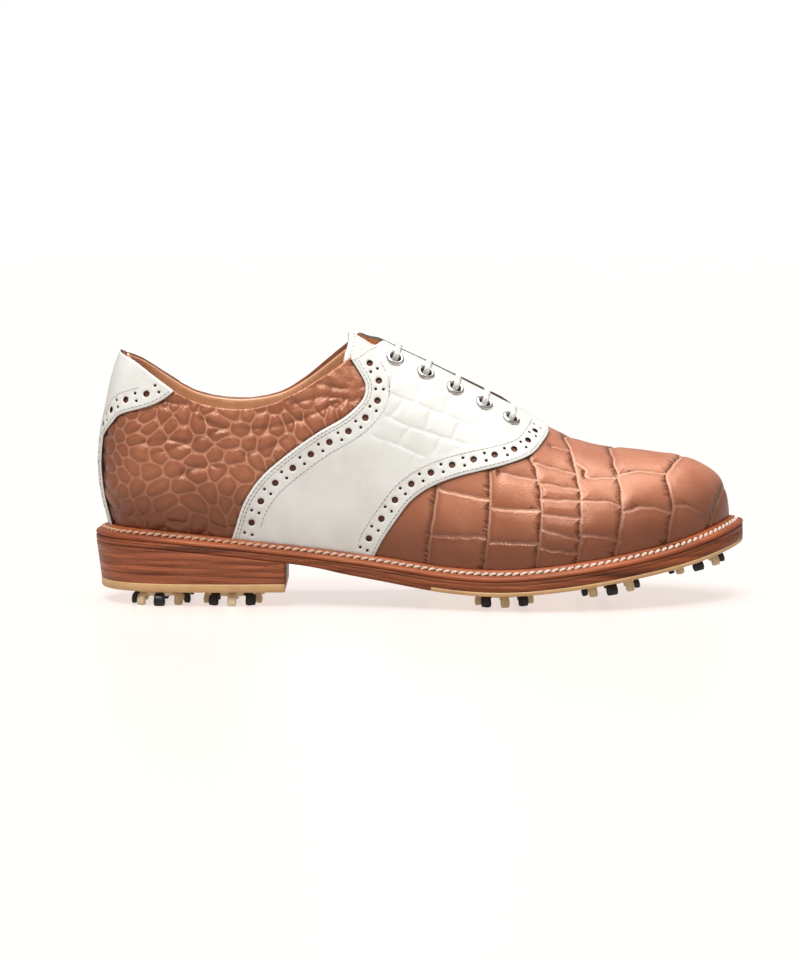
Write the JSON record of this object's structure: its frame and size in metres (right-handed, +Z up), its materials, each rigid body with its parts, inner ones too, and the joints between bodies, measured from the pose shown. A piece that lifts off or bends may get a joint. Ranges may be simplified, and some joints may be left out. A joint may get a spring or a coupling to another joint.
{
  "type": "golf shoe",
  "caption": "Right saddle-style golf shoe with a stitched welt, laced instep, stacked heel and twist-in soft cleats.",
  "frame": {"origin": "on the ground, under the centre of the shoe's bounding box", "axes": "+X to the toe, +Y to the inner (medial) side, +Z up"},
  "size_m": [0.3001, 0.103, 0.123],
  "materials": {
    "tan_leather": "embossed scales, satin",
    "white_leather": "lightly embossed, satin",
    "lining_leather": "smooth, matt",
    "sole_leather": "waxed edge",
    "board": "fibre board, matt",
    "cork": "pressed granules, matt",
    "honey_rubber": "translucent, satin",
    "black_plastic": "moulded, satin",
    "nickel": "polished nickel",
    "shank_steel": "plain",
    "lace": "woven cotton, waxed",
    "thread": "waxed linen"
  },
  "bodies": {
    "shoe": {"vamp": "tan_leather", "quarter_outer": "tan_leather", "quarter_inner": "tan_leather", "saddle": "white_leather", "heel_tab": "white_leather", "vamp_lining": "lining_leather", "quarter_lining": "lining_leather", "sock_liner": "lining_leather", "heel_counter": "board", "toe_puff": "board", "insole": "board", "insole_rib": "board", "cork_filler": "cork", "shank": "shank_steel", "welt": "sole_leather", "midsole": "sole_leather", "outsole": "sole_leather", "forepart_rubber": "honey_rubber", "heel_top_lift": "honey_rubber", "heel_lift_1": "sole_leather", "heel_lift_2": "sole_leather", "heel_lift_3": "sole_leather", "heel_lift_4": "sole_leather", "receptacle_toe": "black_plastic", "receptacle_outer_front": "black_plastic", "receptacle_inner_front": "black_plastic", "receptacle_outer_ball": "black_plastic", "receptacle_inner_ball": "black_plastic", "receptacle_heel_outer_front": "black_plastic", "receptacle_heel_inner_front": "black_plastic", "receptacle_heel_outer_back": "black_plastic", "receptacle_heel_inner_back": "black_plastic", "eyelet_outer_1": "nickel", "eyelet_outer_2": "nickel", "eyelet_outer_3": "nickel", "eyelet_outer_4": "nickel", "eyelet_outer_5": "nickel", "eyelet_inner_1": "nickel", "eyelet_inner_2": "nickel", "eyelet_inner_3": "nickel", "eyelet_inner_4": "nickel", "eyelet_inner_5": "nickel", "lace": "lace", "welt_stitching": "thread"},
    "tongue": {"tongue": "white_leather", "tongue_lining": "lining_leather"},
    "cleat_toe": {"cleat_toe": "black_plastic"},
    "cleat_outer_front": {"cleat_outer_front": "black_plastic"},
    "cleat_inner_front": {"cleat_inner_front": "black_plastic"},
    "cleat_outer_ball": {"cleat_outer_ball": "black_plastic"},
    "cleat_inner_ball": {"cleat_inner_ball": "black_plastic"},
    "cleat_heel_outer_front": {"cleat_heel_outer_front": "black_plastic"},
    "cleat_heel_inner_front": {"cleat_heel_inner_front": "black_plastic"},
    "cleat_heel_outer_back": {"cleat_heel_outer_back": "black_plastic"},
    "cleat_heel_inner_back": {"cleat_heel_inner_back": "black_plastic"}
  },
  "joints": [
    {"name": "cleat_toe_twist", "type": "hinge", "parent": "shoe", "child": "cleat_toe", "pos_m": [0.127, 0.005, 0.02029], "axis": [0.2427, 0, -0.9701], "range_deg": [0, 60]},
    {"name": "cleat_outer_front_twist", "type": "hinge", "parent": "shoe", "child": "cleat_outer_front", "pos_m": [0.086, -0.022, 0.01253], "axis": [0.1577, 0, -0.9875], "range_deg": [0, 60]},
    {"name": "cleat_inner_front_twist", "type": "hinge", "parent": "shoe", "child": "cleat_inner_front", "pos_m": [0.086, 0.027, 0.01253], "axis": [0.1577, 0, -0.9875], "range_deg": [0, 60]},
    {"name": "cleat_outer_ball_twist", "type": "hinge", "parent": "shoe", "child": "cleat_outer_ball", "pos_m": [0.038, -0.024, 0.0071], "axis": [0.0333, 0, -0.9994], "range_deg": [0, 60]},
    {"name": "cleat_inner_ball_twist", "type": "hinge", "parent": "shoe", "child": "cleat_inner_ball", "pos_m": [0.038, 0.023, 0.0071], "axis": [0.0333, 0, -0.9994], "range_deg": [0, 60]},
    {"name": "cleat_heel_outer_front_twist", "type": "hinge", "parent": "shoe", "child": "cleat_heel_outer_front", "pos_m": [-0.086, -0.0155, 0.0066], "axis": [0, 0, -1], "range_deg": [0, 60]},
    {"name": "cleat_heel_inner_front_twist", "type": "hinge", "parent": "shoe", "child": "cleat_heel_inner_front", "pos_m": [-0.086, 0.0155, 0.0066], "axis": [0, 0, -1], "range_deg": [0, 60]},
    {"name": "cleat_heel_outer_back_twist", "type": "hinge", "parent": "shoe", "child": "cleat_heel_outer_back", "pos_m": [-0.119, -0.0145, 0.0066], "axis": [0, 0, -1], "range_deg": [0, 60]},
    {"name": "cleat_heel_inner_back_twist", "type": "hinge", "parent": "shoe", "child": "cleat_heel_inner_back", "pos_m": [-0.119, 0.0145, 0.0066], "axis": [0, 0, -1], "range_deg": [0, 60]},
    {"name": "tongue_tilt", "type": "hinge", "parent": "shoe", "child": "tongue", "pos_m": [0.05, 0.0046, 0.0735], "axis": [0, 1, 0], "range_deg": [-10, 0], "stiffness_Nm_per_rad": 0.05, "springref_deg": 8.59}
  ]
}
